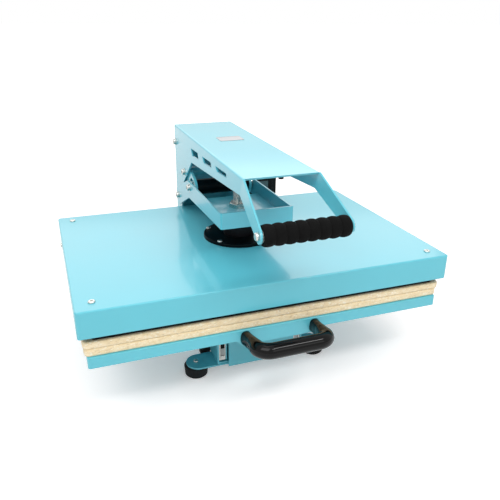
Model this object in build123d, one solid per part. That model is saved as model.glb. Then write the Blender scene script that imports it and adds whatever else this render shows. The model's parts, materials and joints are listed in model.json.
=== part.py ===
from build123d import *
import os
from math import acos, atan2, cos, degrees, hypot, pi, radians, sin, tan

os.makedirs("parts", exist_ok=True)

# Flat heat press with a slide-out lower table, closed. Millimetres, +Z up, the operator stands at -Y.
# The origin is on the standing surface, under the middle of the heated plate.

# Heights, from the standing surface up
foot_height = 22.0
foot_bar_sheet = 3.0
base_sheet = 3.0
tray_underside = 120.3
tray_height = 19.0
lower_felt_thick = 14.0
upper_felt_thick = 12.7
press_gap = 0.4
plate_drop = 10.2
plate_thick = 16.0
cover_height = 44.4

# Heated upper platen
plate_width = 600.0
plate_depth = 400.0
cover_rim_x = 20.0
cover_rim_y = 10.5
cover_width = plate_width + 2 * cover_rim_x
cover_depth = plate_depth + 2 * cover_rim_y
cover_rear = cover_depth / 2
cover_front = -cover_depth / 2
cover_sheet = 2.0
cover_corner = 5.0
cover_edge_round = 2.5
screw_inset = 27.0
corner_post_dia = 14.0
cover_screw_dia = 11.0
cover_screw_head = 2.6
cover_screw_depth = 11.0
screw_hole_depth = 12.0
side_screw_dia = 8.5
side_screw_y = 115.0
side_screw_head = 3.0
heater_tube_dia = 8.0
heater_pitch = 80.0
heater_legs = 4
heater_half_length = 250.0
insulation_margin = 14.0
insulation_hole = 70.0
centre_boss_dia = 132.0
flange_dia = 133.0
flange_thick = 6.0
flange_back = 4.0
flange_screw_x = 49.0
flange_screw_y = 36.5
flange_screw_dia = 5.0
flange_screw_head_dia = 9.0
flange_screw_head = 2.6
swivel_dia = 58.0
swivel_height = 20.0
spindle_dia = 20.0
spindle_fit = 0.08
spindle_top = 90.0
spindle_socket = 10.0
spindle_socket_depth = 9.0
adjust_travel = 5.0

# Slide-out lower table
tray_inset_x = 10.6
tray_inset_y = 7.2
tray_sheet = 2.0
tray_corner = 4.0
tray_tab_drop = 9.0
tray_tab_margin = 16.0
tray_tab_slope = 9.0
stiffener_width = 60.0
stiffener_drop = 16.0
stiffener_spacing = 360.0
felt_over_x = 15.0
felt_over_y = 3.0
felt_step = 1.6
felt_corner = 9.0
carriage_sheet = 3.0
carriage_clear_rear = 24.0
carriage_bolt_inset = 22.0
carriage_bolt_y = (-80.0, 150.0)
panel_width = 126.0
panel_front = 125.0
panel_bottom = 19.0
handle_centres = 117.6
handle_reach = 65.5
handle_bar_dia = 26.0
handle_corner = 20.0
handle_screw_dia = 5.0
handle_root_width = 18.0
handle_root_height = 25.4
handle_leg_width = 16.0
handle_foot_drop = 15.0
handle_tilt = 9.2

# Drawer slides
slide_length = 300.0
slide_front = 118.0
slide_height = 45.0
slide_thick = 12.7
slide_bottom = 31.0
slide_web = 1.5
slide_outer_lip = 3.2
slide_middle_lip = 2.4
slide_inner_lip = 2.0
slide_gap = 0.3
slide_cap_height = 14.0
slide_cap_drop = 6.0
slide_cap_depth = 9.0
slide_travel = 300.0

# Base and post
base_half_width = 83.0
base_front = 120.0
base_wall_top = 100.0
foot_x = 117.5
foot_front_y = -98.5
foot_rear_inset = 53.4
foot_dia = 44.0
foot_bar_width = 46.0
foot_bar_overhang = 18.0
foot_screw_dia = 9.0
foot_screw_depth = 12.0
bumper_size = (18.0, 12.0, 13.0)
bumper_y = -66.0
bumper_low = 20.0
post_in_lever = 2.1
post_sheet = 3.5
post_front = cover_rear + 3.5
post_rear = post_front + 44.0
post_foot_half = 76.0
post_foot_sheet = 5.0
post_ear_clear = 9.0
post_top_round = 24.0
post_web_top = 128.0
post_bolt_x = 66.5
post_bolt_y = (post_front + 14.0, post_front + 48.0)

# Lever and toggle linkage: places are (y, height above the cover), the rear ones measured from the cover's rear
lever_pivot = (cover_rear + 18.5, 138.0)
lever_link_pivot = (cover_rear - 51.0, 89.5)
link_arm_pivot = (cover_rear - 101.5, 70.5)
arm_pivot = (cover_rear - 3.5, 27.0)
lever_swing = 55.0
pivot_dia = 8.0
pivot_fit = 0.06
pivot_head_dia = 12.5
pivot_head = 4.8
pivot_washer_dia = 15.0
pivot_washer = 1.2
arm_boss_round = 20.0

lever_in_arm = 0.1
lever_sheet = 3.0
lever_bend = 3.4
lever_top_rear = (cover_rear + 26.5, 173.0)
lever_top_front = (cover_front + 15.3, 168.3)
lever_inner_bend = (cover_front + 27.9, 139.9)
lever_window_corner = (cover_rear - 109.5, 122.5)
lever_lobe_tip = (cover_rear - 37.5, 62.5)
lever_lobe_rear = (cover_rear - 22.5, 62.5)
lever_rear_low = (cover_rear + 26.5, 122.0)
grip_axis = (cover_front - 71.5, 111.5)
grip_end_round = 11.5
grip_tube_dia = 20.0
grip_bulge_count = 8
grip_bulge_dia = 32.8
grip_groove_dia = 29.0
grip_bolt_dia = 8.0
grip_bolt_head_dia = 12.0
grip_bolt_head = 4.5
handle_splay = 4.5
slot_count = 3
slot_top_line = ((cover_rear - 106.0, 150.3), (cover_front + 95.1, 156.4))
slot_bottom_line = ((cover_rear - 118.2, 137.7), (cover_front + 92.4, 149.7))
slot_pitch = 80.3
slot_length = 51.0
slot_growth = 4.3
slot_rear_lean = 12.3
slot_front_lean = 0.5
slot_round = 1.2
lever_bumper_y = cover_front + 21.5
lever_bumper_dia = 8.0
lever_bumper_height = 3.5

arm_half_width = 66.7
arm_sheet = 3.0
arm_front = flange_back - 101.0
arm_wall_top = 80.5
arm_wall_bottom = 46.5
arm_floor_top = 57.0
arm_floor_rear = flange_back + 66.0
arm_front_bottom = 53.8
arm_front_top = 82.5
arm_front_step = 5.0
arm_corner_round = 4.0
arm_shoulder_y = cover_rear - 88.5
arm_hole_y = 4.0
arm_hole_height = 63.0
arm_hole_dia = 5.0
spindle_boss_dia = 84.0
spindle_boss_thick = 5.0
spindle_nut_dia = 42.0
spindle_nut_height = 24.0
jam_nut_width = 32.0
jam_nut_height = 9.0

link_half = 59.0
link_sheet = 5.0
link_rear_round = 15.0
link_rim = 7.5
link_sleeve_dia = 16.0
link_slot_clear = 0.8
link_cross_tube_dia = 18.0
link_front_tube_dia = 30.0
link_tube_end_gap = 0.5

# Controller, right of the post
controller_clear = 11.3
controller_width = 80.0
controller_front = cover_rear - 10.5
controller_depth = 52.0
controller_low = 8.0
controller_high = 49.0
controller_corner = 4.0
bezel_depth = 6.0
display_inset = 10.0
display_width = 52.0
display_low = 23.0
display_high = 42.0
display_recess = 0.8
key_from_display = 9.0
key_heights = (39.0, 31.5, 24.0)
key_dia = 5.5
key_stand = 1.2
key_travel = 1.0
key_fit = 0.3
inlet_size = (30.0, 25.0)
inlet_inset = 19.0
rocker_size = (13.0, 19.0)
rocker_from_inlet = 30.0
rocker_tilt = 12.0
fuse_from_rocker = 21.0
fuse_dia = 13.0
bracket_sheet = 2.5
bracket_width = 24.0

# Places worked out from the sizes above
tray_top = tray_underside + tray_height
felt_top = tray_top + lower_felt_thick + upper_felt_thick
handle_foot_z = tray_top - handle_foot_drop
plate_bottom = felt_top + press_gap
cover_bottom = plate_bottom + plate_drop
cover_top = cover_bottom + cover_height
plate_top = plate_bottom + plate_thick
cover_ceiling = cover_top - cover_sheet
base_bottom = foot_height + foot_bar_sheet
base_floor = base_bottom + base_sheet
carriage_half = base_half_width - base_sheet - slide_thick
flange_centre = (0.0, flange_back)
arm_inside = arm_half_width - arm_sheet
lever_half_width = arm_inside - lever_in_arm
lever_inside = lever_half_width - lever_sheet
post_half_width = lever_inside - post_in_lever
controller_left = arm_half_width + controller_clear
controller_right = controller_left + controller_width
display_left = controller_left + display_inset
display_right = display_left + display_width
key_x = display_right + key_from_display
inlet_x = controller_left + inlet_inset
rocker_x = inlet_x + rocker_from_inlet
fuse_x = rocker_x + fuse_from_rocker
base_rear = grip_bulge_dia / 2 - grip_axis[0]
foot_rear_y = base_rear - foot_rear_inset


def up(height):
    """A height above the cover, as a height above the standing surface."""
    return cover_top + height


def at(point):
    """A (y, height above the cover) pair as (y, z)."""
    return (point[0], up(point[1]))


def box(x0, x1, y0, y1, z0, z1):
    return Pos((x0 + x1) / 2, (y0 + y1) / 2, (z0 + z1) / 2) * Box(x1 - x0, y1 - y0, z1 - z0)


def rod_x(x0, x1, point, dia):
    """A round bar along X through a (y, z) point."""
    turned = Rot(0, 90, 0) * Cylinder(dia / 2, x1 - x0)
    return Pos((x0 + x1) / 2, point[0], point[1]) * turned


def rod_y(x, y0, y1, z, dia):
    turned = Rot(90, 0, 0) * Cylinder(dia / 2, y1 - y0)
    return Pos(x, (y0 + y1) / 2, z) * turned


def rod_z(x, y, z0, z1, dia):
    return Pos(x, y, (z0 + z1) / 2) * Cylinder(dia / 2, z1 - z0)


def side_plate(sketch, x0, x1):
    """Extrudes a sketch drawn in (y, z) from x0 to x1."""
    return extrude(Plane.YZ.offset(x0) * sketch, amount=x1 - x0, dir=(1, 0, 0))


def disc(point, radius):
    return Pos(point[0], point[1]) * Circle(radius)


def hull(*circles):
    """The outline that a tight band round (point, radius) circles would have."""
    edges = ShapeList()
    for point, radius in circles:
        edges += disc(point, radius).edges()
    return make_hull(edges)


def both(solid):
    """A solid and its mirror image across the middle plane."""
    return [solid, mirror(solid, about=Plane.YZ)]


def tangent(point, centre, radius, side):
    """Where the line from a point touches a circle: side 1 turns anticlockwise from the point, -1 clockwise."""
    reach = hypot(centre[0] - point[0], centre[1] - point[1])
    heading = atan2(centre[1] - point[1], centre[0] - point[0])
    turn = acos(radius / reach)
    angle = heading + pi + side * turn
    return (centre[0] + radius * cos(angle), centre[1] + radius * sin(angle))


def swing(point, centre, angle):
    """Turns a (y, z) point about a centre by an angle in degrees, the front rising."""
    c, s = cos(radians(angle)), sin(radians(angle))
    y, z = point[0] - centre[0], point[1] - centre[1]
    return (centre[0] + c * y + s * z, centre[1] - s * y + c * z)


def linkage(lever_angle, near=0.0):
    """Arm angle and link angle, in degrees, of the four-bar linkage at a lever angle."""
    joint = swing(lever_link_pivot, lever_pivot, lever_angle)
    reach = hypot(joint[0] - arm_pivot[0], joint[1] - arm_pivot[1])
    crank = hypot(link_arm_pivot[0] - arm_pivot[0], link_arm_pivot[1] - arm_pivot[1])
    link = hypot(lever_link_pivot[0] - link_arm_pivot[0], lever_link_pivot[1] - link_arm_pivot[1])
    opening = acos((reach**2 + crank**2 - link**2) / (2 * reach * crank))
    heading = atan2(joint[1] - arm_pivot[1], arm_pivot[0] - joint[0])
    rest = atan2(link_arm_pivot[1] - arm_pivot[1], arm_pivot[0] - link_arm_pivot[0])
    options = [degrees(heading + s * opening - rest) for s in (-1, 1)]
    arm = min(options, key=lambda value: abs(value - near))
    front = swing(link_arm_pivot, arm_pivot, arm)
    rest_link = atan2(lever_link_pivot[1] - link_arm_pivot[1], lever_link_pivot[0] - link_arm_pivot[0])
    turned = atan2(joint[1] - front[1], joint[0] - front[0])
    return arm, degrees(rest_link - turned)


def open_angles():
    """Arm and link angles with the lever fully up, followed step by step from closed."""
    arm = 0.0
    link = 0.0
    for step in range(1, 25):
        arm, link = linkage(lever_swing * step / 24, arm)
    return arm, link


arm_swing, link_swing = open_angles()


def sleeve_path():
    """Where the arm's sleeve lies in the closed link while all three turn at constant ratios."""
    path = []
    for step in range(25):
        share = step / 24
        sleeve = swing(link_arm_pivot, arm_pivot, arm_swing * share)
        joint = swing(lever_link_pivot, lever_pivot, lever_swing * share)
        back = swing(sleeve, joint, -link_swing * share)
        shift = (lever_link_pivot[0] - joint[0], lever_link_pivot[1] - joint[1])
        path.append((back[0] + shift[0], back[1] + shift[1]))
    return path


def pivot_bolt(point, inner_half, outer_half):
    """Shank, washers and domed heads of a through bolt. inner_half is the bolt's seat."""
    shank = rod_x(-outer_half - pivot_washer, outer_half + pivot_washer, at(point), pivot_dia)
    head = Cylinder(pivot_head_dia / 2, pivot_head)
    head = fillet(head.edges().filter_by(GeomType.CIRCLE).group_by(Axis.Z)[-1], pivot_head * 0.45)
    socket = Pos(0, 0, pivot_head / 2) * extrude(RegularPolygon(3.4, 6), amount=-2.5)
    head = head - socket
    y, z = at(point)
    start = outer_half + pivot_washer
    head = Pos(start + pivot_head / 2, y, z) * (Rot(0, 90, 0) * head)
    washer = rod_x(inner_half, start, (y, z), pivot_washer_dia)
    whole = shank
    for piece in both(head) + both(washer):
        whole = whole + piece
    return whole


def hang(pieces):
    """Several separate solids as one named piece."""
    return Compound(children=[p for p in pieces])


# Upper platen

def platen_cover():
    shell = box(-cover_width / 2, cover_width / 2, -cover_depth / 2, cover_depth / 2, cover_bottom, cover_top)
    shell = fillet(shell.edges().filter_by(Axis.Z), cover_corner)
    shell = fillet(shell.faces().sort_by(Axis.Z)[-1].edges(), cover_edge_round)
    inner = box(
        -cover_width / 2 + cover_sheet, cover_width / 2 - cover_sheet,
        -cover_depth / 2 + cover_sheet, cover_depth / 2 - cover_sheet, cover_bottom - 1, cover_ceiling,
    )
    inner = fillet(inner.edges().filter_by(Axis.Z), cover_corner - cover_sheet)
    shell = shell - inner
    for x, y in cover_screw_places():
        shell = shell - rod_z(x, y, cover_ceiling - 1, cover_top + 1, cover_screw_dia * 0.55)
    for place in flange_screw_places():
        shell = shell - rod_z(*place, cover_ceiling - 1, cover_top + 1, flange_screw_dia)
    return shell


def cover_screw_places():
    x = cover_width / 2 - screw_inset
    y = cover_depth / 2 - screw_inset
    return [(x, y), (-x, y), (x, -y), (-x, -y)]


def flange_screw_places():
    x, y = flange_screw_x, flange_screw_y
    return [(sx * x, flange_back + sy * y) for sx, sy in ((1, 1), (-1, 1), (1, -1), (-1, -1))]


def heating_plate():
    plate = box(-plate_width / 2, plate_width / 2, -plate_depth / 2, plate_depth / 2, plate_bottom, plate_top)
    plate = fillet(plate.edges().filter_by(Axis.Z), 6.0)
    return chamfer(plate.faces().sort_by(Axis.Z)[0].edges(), 1.0)


def heater_element():
    """A tube bent into long legs, lying on the plate."""
    z = plate_top + heater_tube_dia / 2
    points = []
    side = 1
    for n in range(heater_legs):
        y = heater_pitch * (n - (heater_legs - 1) / 2)
        points += [(-side * heater_half_length, y), (side * heater_half_length, y)]
        side = -side
    bend = heater_pitch * 0.45
    wire = FilletPolyline(*[(x, y, z) for x, y in points], radius=bend)
    start = Plane(origin=wire @ 0, z_dir=wire % 0)
    return sweep(start * Circle(heater_tube_dia / 2), path=wire)


def insulation_slab():
    low = plate_top + heater_tube_dia + 1.0
    half_x = plate_width / 2 - insulation_margin
    half_y = plate_depth / 2 - insulation_margin
    slab = box(-half_x, half_x, -half_y, half_y, low, cover_ceiling)
    slab = slab - rod_z(*flange_centre, low - 1, cover_ceiling + 1, centre_boss_dia + 2)
    for x, y in cover_screw_places():
        slab = slab - rod_z(x, y, low - 1, cover_ceiling + 1, corner_post_dia + 12)
    return slab


def centre_boss():
    """The block that takes the load of the spindle from the cover down to the plate, bridging the heater."""
    boss = rod_z(*flange_centre, plate_top, cover_ceiling, centre_boss_dia)
    groove = box(
        -centre_boss_dia, centre_boss_dia, -plate_depth / 2, plate_depth / 2,
        plate_top - 1, plate_top + heater_tube_dia + 1,
    )
    feet = box(
        -centre_boss_dia, centre_boss_dia, flange_back - heater_pitch * 0.2,
        flange_back + heater_pitch * 0.2, plate_top - 1, plate_top + heater_tube_dia + 1,
    )
    boss = boss - (groove - feet)
    for place in flange_screw_places():
        boss = boss - rod_z(*place, cover_ceiling - screw_hole_depth, cover_ceiling + 1, flange_screw_dia)
    return boss


def corner_posts():
    posts = []
    for x, y in cover_screw_places():
        post = rod_z(x, y, plate_top, cover_ceiling, corner_post_dia)
        hole = rod_z(x, y, cover_ceiling - screw_hole_depth, cover_ceiling + 1, cover_screw_dia * 0.55)
        posts.append(post - hole)
    return hang(posts)


def cover_screws():
    """Button-head screws through the cover's top, and one small screw in each side."""
    screws = []
    for x, y in cover_screw_places():
        head = rod_z(x, y, cover_top, cover_top + cover_screw_head, cover_screw_dia)
        head = fillet(head.faces().sort_by(Axis.Z)[-1].edges(), cover_screw_head * 0.6)
        socket = Pos(x, y, cover_top + cover_screw_head) * extrude(RegularPolygon(2.3, 6), amount=-1.6)
        shank = rod_z(x, y, cover_ceiling - cover_screw_depth, cover_top, cover_screw_dia * 0.55)
        screws.append(head - socket + shank)
    z = cover_bottom + cover_height * 0.5
    seat = cover_width / 2
    head = rod_x(seat, seat + side_screw_head, (side_screw_y, z), side_screw_dia)
    screws += both(fillet(head.faces().sort_by(Axis.X)[-1].edges(), side_screw_head * 0.6))
    return hang(screws)


def platen_flange():
    disc_top = cover_top + flange_thick
    flange = rod_z(*flange_centre, cover_top, disc_top, flange_dia)
    flange = fillet(flange.faces().sort_by(Axis.Z)[-1].edges(), 1.5)
    for place in flange_screw_places():
        flange = flange - rod_z(*place, cover_top - 1, disc_top + 1, flange_screw_dia)
    return flange


def flange_screws():
    screws = []
    for place in flange_screw_places():
        seat = cover_top + flange_thick
        head = rod_z(*place, seat, seat + flange_screw_head, flange_screw_head_dia)
        head = fillet(head.faces().sort_by(Axis.Z)[-1].edges(), 1.2)
        screws.append(head + rod_z(*place, cover_ceiling - cover_screw_depth, seat, flange_screw_dia))
    return hang(screws)


def swivel_cup():
    """The cup in which the spindle's collar turns."""
    low = cover_top + flange_thick
    high = low + swivel_height
    cup = rod_z(*flange_centre, low, high, swivel_dia)
    cup = chamfer(cup.faces().sort_by(Axis.Z)[-1].edges(), 3.0)
    bore = rod_z(*flange_centre, low + 4, high + 1, spindle_dia + 2 * spindle_fit)
    return cup - bore


def pressure_spindle():
    """A plain-topped screw with a hexagon socket; its foot turns in the swivel cup."""
    low = cover_top + flange_thick + 4
    stem = chamfer(rod_z(*flange_centre, low, up(spindle_top), spindle_dia).edges().group_by(Axis.Z)[-1], 1.5)
    socket = Pos(flange_centre[0], flange_centre[1], up(spindle_top)) * extrude(
        RegularPolygon(spindle_socket / 2, 6, major_radius=False), amount=-spindle_socket_depth
    )
    return stem - socket


# Lower table

def lower_tray():
    half_x = cover_width / 2 - tray_inset_x
    half_y = cover_depth / 2 - tray_inset_y
    pan = box(-half_x, half_x, -half_y, half_y, tray_underside, tray_top)
    pan = fillet(pan.edges().filter_by(Axis.Z), tray_corner)
    pan = fillet(pan.faces().sort_by(Axis.Z)[-1].edges(), 1.5)
    inner = box(
        -half_x + tray_sheet, half_x - tray_sheet, -half_y + tray_sheet, half_y - tray_sheet,
        tray_underside - 1, tray_top - tray_sheet,
    )
    pan = pan - fillet(inner.edges().filter_by(Axis.Z), tray_corner - tray_sheet)
    pan = pan + tray_tab(half_y)
    for x in (-handle_centres / 2, handle_centres / 2):
        pan = pan - rod_y(x, -half_y - 1, -half_y + tray_sheet + 1, handle_foot_z, handle_screw_dia)
    return pan


def tray_tab(half_y):
    """The front wall reaches lower behind the pull handle, with sloped ends."""
    wide = handle_centres / 2 + tray_tab_margin
    narrow = wide - tray_tab_slope
    low = tray_underside - tray_tab_drop
    outline = Polygon(
        (-wide, tray_underside + 1), (-wide, tray_underside), (-narrow, low), (narrow, low),
        (wide, tray_underside), (wide, tray_underside + 1), align=None,
    )
    return extrude(Plane.XZ.offset(half_y) * outline, amount=tray_sheet, dir=(0, 1, 0))


def tray_stiffeners():
    """Hat channels across the tray, under its top sheet; the carriage bolts to them."""
    half_y = cover_depth / 2 - tray_inset_y - tray_sheet - 4
    high = tray_top - tray_sheet
    low = tray_underside
    bars = []
    for x in (-stiffener_spacing / 2, stiffener_spacing / 2):
        bar = box(x - stiffener_width / 2, x + stiffener_width / 2, -half_y, half_y, high - stiffener_drop, high)
        hollow = box(
            x - stiffener_width / 2 + 2, x + stiffener_width / 2 - 2, -half_y - 1, half_y + 1,
            high - stiffener_drop + 2, high + 1,
        )
        bars.append(bar - hollow)
    centre = box(-carriage_half + 4, carriage_half - 4, -half_y, half_y, low, high)
    hollow = box(
        -carriage_half + 6, carriage_half - 6, -half_y - 1, half_y + 1, low + 2, high + 1,
    )
    bars.append(centre - hollow)
    return hang(bars)


def felt_layer(low, thick, step):
    half_x = plate_width / 2 + felt_over_x - step
    half_y = plate_depth / 2 + felt_over_y - step
    layer = box(-half_x, half_x, -half_y, half_y, low, low + thick)
    return fillet(layer.edges().filter_by(Axis.Z), felt_corner)


def carriage():
    """Bent sheet: a top plate under the tray, side walls on the slides and a front panel."""
    top = box(
        -carriage_half, carriage_half, -panel_front, post_front - carriage_clear_rear,
        tray_underside - carriage_sheet, tray_underside,
    )
    wall = box(
        carriage_half - carriage_sheet, carriage_half, -slide_front, slide_length - slide_front,
        slide_bottom, tray_underside,
    )
    panel = box(
        -panel_width / 2, panel_width / 2, -panel_front, -panel_front + carriage_sheet,
        panel_bottom, tray_underside,
    )
    body = top + panel
    for piece in both(wall):
        body = body + piece
    for x, y in carriage_bolt_places():
        body = body - rod_z(x, y, tray_underside - 5, tray_underside + 1, 6.4)
    return body


def carriage_bolt_places():
    x = carriage_half - carriage_bolt_inset
    return [(side * x, y) for y in carriage_bolt_y for side in (1, -1)]


def carriage_bolts():
    bolts = []
    for x, y in carriage_bolt_places():
        seat = tray_underside - carriage_sheet
        head = Pos(x, y, seat) * extrude(RegularPolygon(5.0, 6, major_radius=False), amount=-4.0)
        bolts.append(head + rod_z(x, y, seat, tray_underside, 6.0))
    return hang(bolts)


def pull_handle():
    """A moulded bow, tilted up a little: a round bar with two upright oval legs that stand on the tray's front."""
    face = -(cover_depth / 2 - tray_inset_y)
    half = handle_centres / 2
    leg = handle_reach - handle_corner - 2.0
    path = FilletPolyline(
        (-half, face - leg, handle_foot_z), (-half, face - handle_reach, handle_foot_z),
        (half, face - handle_reach, handle_foot_z), (half, face - leg, handle_foot_z),
        radius=handle_corner,
    )
    start = Plane(origin=path @ 0, z_dir=path % 0)
    bow = sweep(start * Circle(handle_bar_dia / 2), path=path)
    whole = bow.rotate(Axis((0, face, handle_foot_z), (1, 0, 0)), -handle_tilt)
    away = (0, -cos(radians(handle_tilt)), sin(radians(handle_tilt)))
    for x in (-half, half):
        root_plane = Plane(origin=(x, face, handle_foot_z), x_dir=(1, 0, 0), z_dir=(0, -1, 0))
        mid_plane = leg_plane(x, face, leg / 2, away)
        end_plane = leg_plane(x, face, leg, away)
        upright = loft([
            root_plane * Ellipse(handle_root_width / 2, handle_root_height / 2),
            mid_plane * Ellipse(handle_leg_width / 2, handle_root_height / 2),
            end_plane * Circle(handle_bar_dia / 2),
        ])
        whole = whole + upright
    return whole


def leg_plane(x, face, far, away):
    """A plane across a handle leg, at a distance from the tray along the leg."""
    return Plane(origin=(x, face + away[1] * far, handle_foot_z + away[2] * far), x_dir=(1, 0, 0), z_dir=away)


def handle_screws():
    face = -(cover_depth / 2 - tray_inset_y)
    screws = []
    for x in (-handle_centres / 2, handle_centres / 2):
        head = rod_y(x, face + tray_sheet, face + tray_sheet + 3.5, handle_foot_z, 9.0)
        shank = rod_y(x, face, face + tray_sheet, handle_foot_z, handle_screw_dia)
        screws.append(head + shank)
    return hang(screws)


# Drawer slides: each profile is drawn at the right, from the base wall (0) towards the carriage

def slide_member(near, far, low, high, lip, web_at_wall):
    """A C-shaped rail. Its web is at the wall side or at the carriage side."""
    wall = base_half_width - base_sheet
    y0, y1 = -slide_front, slide_length - slide_front
    z0, z1 = slide_bottom + low, slide_bottom + slide_height - high
    whole = box(wall - far, wall - near, y0, y1, z0, z1)
    if web_at_wall:
        hollow = box(wall - far - 1, wall - near - slide_web, y0 - 1, y1 + 1, z0 + lip, z1 - lip)
    else:
        hollow = box(wall - far + slide_web, wall - near + 1, y0 - 1, y1 + 1, z0 + lip, z1 - lip)
    return whole - hollow


def slide_outers():
    return hang(both(slide_member(0, slide_thick - slide_gap, 0, 0, slide_outer_lip, True)))


def slide_middles():
    inset = slide_outer_lip + slide_gap
    near = slide_web + slide_gap
    return hang(both(slide_member(near, slide_thick - slide_gap, inset, inset, slide_middle_lip, True)))


def slide_inners():
    inset = slide_outer_lip + slide_middle_lip + 2 * slide_gap
    near = 2 * slide_web + 2 * slide_gap + 0.6
    return hang(both(slide_member(near, slide_thick, inset, inset, slide_inner_lip, False)))


def slide_cap_reach():
    """Between which x values the drawer rail's end is closed, and where it is seen in height."""
    wall = base_half_width - base_sheet
    inset = slide_outer_lip + slide_middle_lip + slide_inner_lip + 2 * slide_gap
    near = 2 * slide_web + 2 * slide_gap + 0.6
    return wall - slide_thick + slide_web, wall - near, slide_bottom + inset, slide_bottom + slide_height - inset


def slide_end_caps():
    x0, x1, low, high = slide_cap_reach()
    middle = (low + high) / 2 - slide_cap_drop
    cap = box(
        x0, x1, -slide_front, -slide_front + slide_cap_depth,
        middle - slide_cap_height / 2, middle + slide_cap_height / 2,
    )
    return hang(both(cap))


def slide_end_stops():
    """Black blocks above and below each end cap."""
    x0, x1, low, high = slide_cap_reach()
    middle = (low + high) / 2 - slide_cap_drop
    start, end = -slide_front + 0.5, -slide_front + slide_cap_depth
    stops = both(box(x0, x1, start, end, low, middle - slide_cap_height / 2))
    stops += both(box(x0, x1, start, end, middle + slide_cap_height / 2, high))
    return hang(stops)


# Base and post

def base_channel():
    outer = box(-base_half_width, base_half_width, -base_front, base_rear, base_bottom, base_wall_top)
    inner = box(
        -base_half_width + base_sheet, base_half_width - base_sheet, -base_front - 1, base_rear + 1,
        base_floor, base_wall_top + 1,
    )
    body = outer - inner
    low_edges = body.edges().filter_by(Axis.Y).group_by(Axis.Z)[0]
    body = fillet(low_edges, 2.0)
    for x in (-post_bolt_x, post_bolt_x):
        for y in post_bolt_y:
            body = body - rod_z(x, y, base_bottom - 1, base_floor + 1, 8.4)
    return body


def foot_bars():
    """Flat bars with round ends across the base; the feet are bolted under their ends."""
    bars = []
    for y in (foot_front_y, foot_rear_y):
        length = 2 * (foot_x + foot_bar_overhang)
        bar = extrude(SlotOverall(length, foot_bar_width), amount=foot_bar_sheet)
        bar = Pos(0, y, foot_height) * bar
        for x in (-foot_x, foot_x):
            bar = bar - rod_z(x, y, foot_height - 1, base_bottom + 1, 6.0)
        bars.append(bar)
    return hang(bars)


def foot_places():
    return [(x, y) for y in (foot_front_y, foot_rear_y) for x in (-foot_x, foot_x)]


def rubber_feet():
    feet = []
    for x, y in foot_places():
        profile = Polygon(
            (0, 0), (foot_dia / 2 - 4, 0), (foot_dia / 2 - 1.5, 2.5), (foot_dia / 2, foot_height - 3),
            (foot_dia / 2 - 2.5, foot_height), (0, foot_height), align=None,
        )
        foot = revolve(Plane.XZ * profile, Axis.Z)
        feet.append(Pos(x, y, 0) * foot - rod_z(x, y, foot_height - foot_screw_depth, foot_height + 1, 6.0))
    return hang(feet)


def foot_screws():
    screws = []
    for x, y in foot_places():
        head = rod_z(x, y, base_bottom, base_bottom + 3.2, foot_screw_dia)
        head = fillet(head.faces().sort_by(Axis.Z)[-1].edges(), 1.6)
        screws.append(head + rod_z(x, y, foot_height - foot_screw_depth, base_bottom, 6.0))
    return hang(screws)


def side_bumper():
    """A rubber block on the base's left wall that the drawer's underside rides over."""
    length, depth, height = bumper_size
    block = box(
        -base_half_width - length, -base_half_width, bumper_y - depth / 2, bumper_y + depth / 2,
        bumper_low, bumper_low + height,
    )
    return fillet(block.edges().filter_by(Axis.X), 2.0)


def post_channel():
    """A bent sheet post, open to the front, with ears for the arm's pivot and a foot plate."""
    low = base_floor
    ear_low = up(post_ear_clear)
    flange = Polygon(
        (post_front, low), (post_rear, low), (post_rear, up(post_web_top)), (post_front, up(post_web_top)),
        align=None,
    )
    corner = 3.0
    upper = hull(
        (at(lever_pivot), post_top_round),
        (at(arm_pivot), arm_pivot[1] - post_ear_clear),
        ((post_rear - corner, ear_low + corner), corner),
        ((post_rear - corner, up(post_web_top) - corner), corner),
    )
    outline = flange + upper
    outline = outline - disc(at(lever_pivot), pivot_dia / 2) - disc(at(arm_pivot), pivot_dia / 2)
    side = side_plate(outline, post_half_width - post_sheet, post_half_width)
    body = box(
        -post_half_width, post_half_width, post_rear - post_sheet, post_rear, low, up(post_web_top)
    )
    for piece in both(side):
        body = body + piece
    foot = box(
        -post_foot_half, post_foot_half, post_front + 4, base_rear - 6, low, low + post_foot_sheet
    )
    body = body + foot
    for x in (-post_bolt_x, post_bolt_x):
        for y in post_bolt_y:
            body = body - rod_z(x, y, low - 1, low + post_foot_sheet + 1, 8.4)
    return body


def post_bolts():
    bolts = []
    for x in (-post_bolt_x, post_bolt_x):
        for y in post_bolt_y:
            seat = base_floor + post_foot_sheet
            head = Pos(x, y, seat) * extrude(RegularPolygon(6.5, 6, major_radius=False), amount=5.3)
            bolts.append(head + rod_z(x, y, base_bottom, seat, 8.0))
    return hang(bolts)


def pivot_spacers():
    """Flat bushes between the post and the lever, and between the post and the arm."""
    pieces = []
    for point, reach in ((lever_pivot, lever_inside), (arm_pivot, arm_inside)):
        ring = rod_x(post_half_width, reach, at(point), pivot_washer_dia)
        pieces += both(ring - rod_x(post_half_width - 1, reach + 1, at(point), pivot_dia))
    return hang(pieces)


# Lever

def lever_top_at(y):
    """Height above the cover of the lever's top sheet at a y."""
    return along((lever_top_rear, lever_top_front), y)


def along(line, y):
    """The height at y of a line through two (y, height) points."""
    (y0, z0), (y1, z1) = line
    return z0 + (z1 - z0) * (y - y0) / (y1 - y0)


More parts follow.
